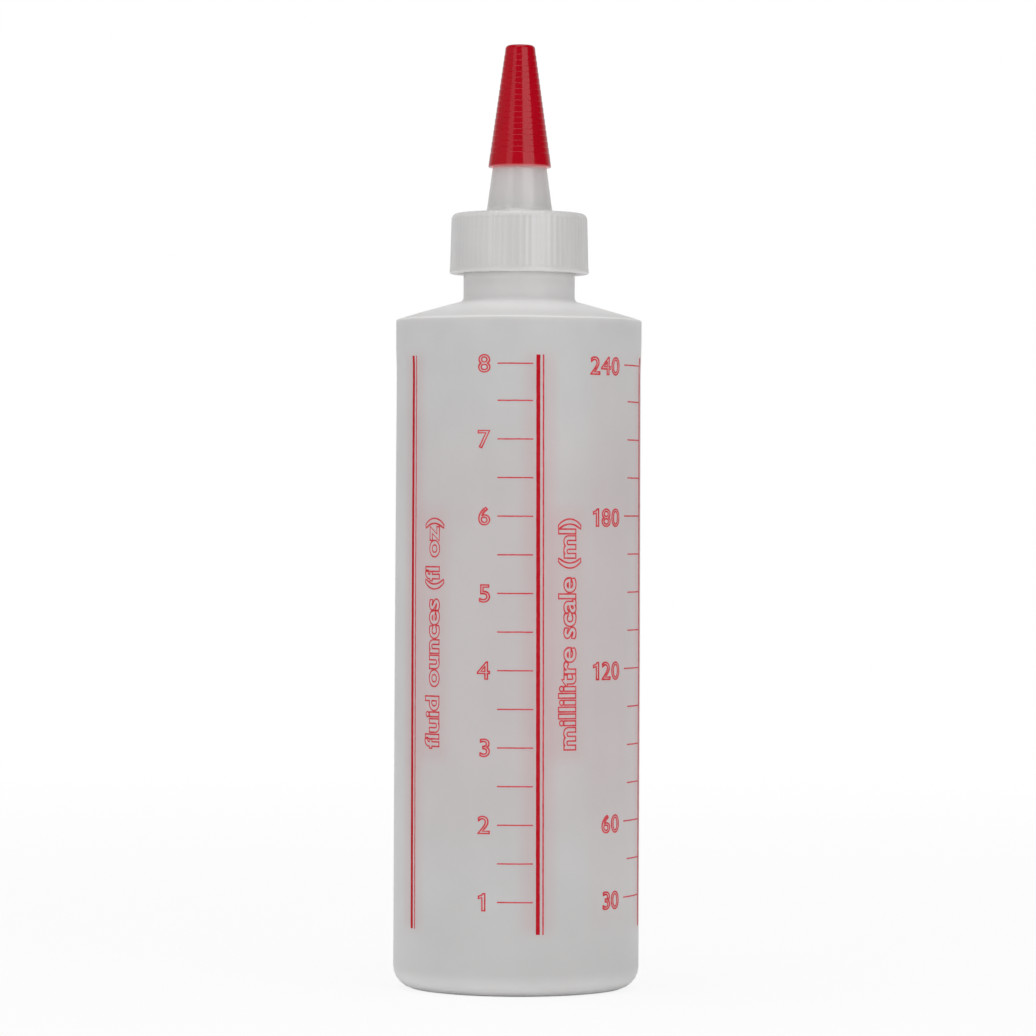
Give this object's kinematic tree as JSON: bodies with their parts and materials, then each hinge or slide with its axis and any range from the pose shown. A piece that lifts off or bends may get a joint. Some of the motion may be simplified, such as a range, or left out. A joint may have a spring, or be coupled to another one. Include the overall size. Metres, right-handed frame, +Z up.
{
  "type": "squeeze bottle",
  "caption": "Slim cylindrical squeeze bottle in milky plastic with a ribbed screw-on spout closure, a slim red push-on tip cap and a printed volume scale.",
  "frame": {"origin": "centre of the base, on the plane it stands on", "axes": "+Z up along the bottle's axis to the tip; the printed scale faces -Y, as in the picture; +X is to the right as seen from the front"},
  "size_m": [0.0508, 0.0508, 0.1947],
  "materials": {
    "bottle": "milky translucent blow-moulded polyethylene, satin, with red screen-printed graduations",
    "liner": "white closed-cell foam",
    "spout_cap": "milky injection-moulded polyethylene, satin",
    "tip_cap": "red injection-moulded polyethylene with fine turned rings"
  },
  "bodies": {
    "bottle": {"bottle": "bottle"},
    "seal": {"liner": "liner"},
    "closure": {"spout_cap": "spout_cap"},
    "tip": {"tip_cap": "tip_cap"}
  },
  "joints": [
    {"name": "closure_lift", "type": "slide", "parent": "bottle", "child": "seal", "axis": [0, 0, 1], "range_m": [0, 0.01271]},
    {"name": "closure_turn", "type": "hinge", "parent": "seal", "child": "closure", "pos_m": [0, 0, 0.1536], "axis": [0, 0, 1], "range_deg": [0, 1440]},
    {"name": "tip_pull", "type": "slide", "parent": "closure", "child": "tip", "axis": [0, 0, 1], "range_m": [0, 0.028]}
  ],
  "couplings": [
    {"joint": "closure_lift", "follows": "closure_turn", "m_per_rad": 0.00050532}
  ]
}
